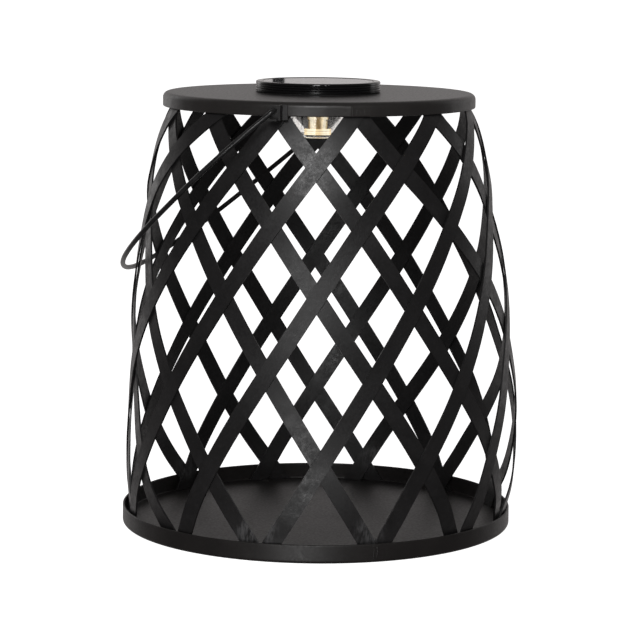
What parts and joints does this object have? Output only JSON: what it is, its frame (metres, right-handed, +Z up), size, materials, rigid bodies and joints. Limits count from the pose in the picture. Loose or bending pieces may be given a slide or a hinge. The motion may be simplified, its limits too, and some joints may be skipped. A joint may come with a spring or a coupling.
{
  "type": "lantern table lamp",
  "caption": "Portable solar lantern: a barrel lattice of crossed flat strips between a shallow tray and a flat lid, a lamp under the lid, a puck module on top and a swinging wire bail.",
  "frame": {"origin": "centre of the tray's underside, on the plane the lantern stands on", "axes": "+Z up along the lantern's axis; the bail's pivot axis is along Y, and at rest the bail hangs towards -X"},
  "size_m": [0.2284, 0.2236, 0.2522],
  "materials": {
    "painted_sheet": "satin black-brown powder coat on thin sheet",
    "painted_strip": "near-black powder coat, fine speckle",
    "painted_wire": "black powder coat on round wire",
    "fastener": "plain steel",
    "clear_plastic": "glossy dark smoked plastic",
    "solar_laminate": "dark cell under resin",
    "seal_rubber": "matt",
    "module_plastic": "fine moulded texture",
    "lens_plastic": "clear moulded plastic",
    "core_plastic": "warm translucent, lit from within",
    "led_plastic": "clear epoxy",
    "board": "solder mask",
    "cell_sleeve": "shrink sleeve",
    "contact_metal": "plated",
    "knob_plastic": "moulded"
  },
  "bodies": {
    "lantern": {"top_plate": "painted_sheet", "base_tray": "painted_sheet", "outer_strip_01": "painted_strip", "outer_strip_02": "painted_strip", "outer_strip_03": "painted_strip", "outer_strip_04": "painted_strip", "outer_strip_05": "painted_strip", "outer_strip_06": "painted_strip", "outer_strip_07": "painted_strip", "outer_strip_08": "painted_strip", "outer_strip_09": "painted_strip", "outer_strip_10": "painted_strip", "outer_strip_11": "painted_strip", "outer_strip_12": "painted_strip", "inner_strip_01": "painted_strip", "inner_strip_02": "painted_strip", "inner_strip_03": "painted_strip", "inner_strip_04": "painted_strip", "inner_strip_05": "painted_strip", "inner_strip_06": "painted_strip", "inner_strip_07": "painted_strip", "inner_strip_08": "painted_strip", "inner_strip_09": "painted_strip", "inner_strip_10": "painted_strip", "inner_strip_11": "painted_strip", "inner_strip_12": "painted_strip", "floor_rivet": "fastener", "handle_ear_front": "painted_sheet", "handle_ear_rear": "painted_sheet"},
    "bail": {"bail_handle": "painted_wire"},
    "solar_module": {"module_bezel": "clear_plastic", "panel_window": "clear_plastic", "solar_cell": "solar_laminate", "module_seal": "seal_rubber", "module_housing": "module_plastic", "lens_cup": "lens_plastic", "core_cone": "lens_plastic", "light_core": "core_plastic", "led": "led_plastic", "circuit_board": "board", "battery_cell": "cell_sleeve", "battery_contact_a": "contact_metal", "battery_contact_b": "contact_metal", "switch_body": "module_plastic", "housing_screws": "fastener"},
    "knob": {"switch_knob": "knob_plastic"}
  },
  "joints": [
    {"name": "bail_swing", "type": "hinge", "parent": "lantern", "child": "bail", "pos_m": [0, 0, 0.2413], "axis": [0, 1, 0], "range_deg": [0, 262.5]},
    {"name": "module_lift", "type": "slide", "parent": "lantern", "child": "solar_module", "axis": [0, 0, 1], "range_m": [0, 0.04]},
    {"name": "switch_slide", "type": "slide", "parent": "solar_module", "child": "knob", "axis": [1, 0, 0], "range_m": [0, 0.003]}
  ]
}
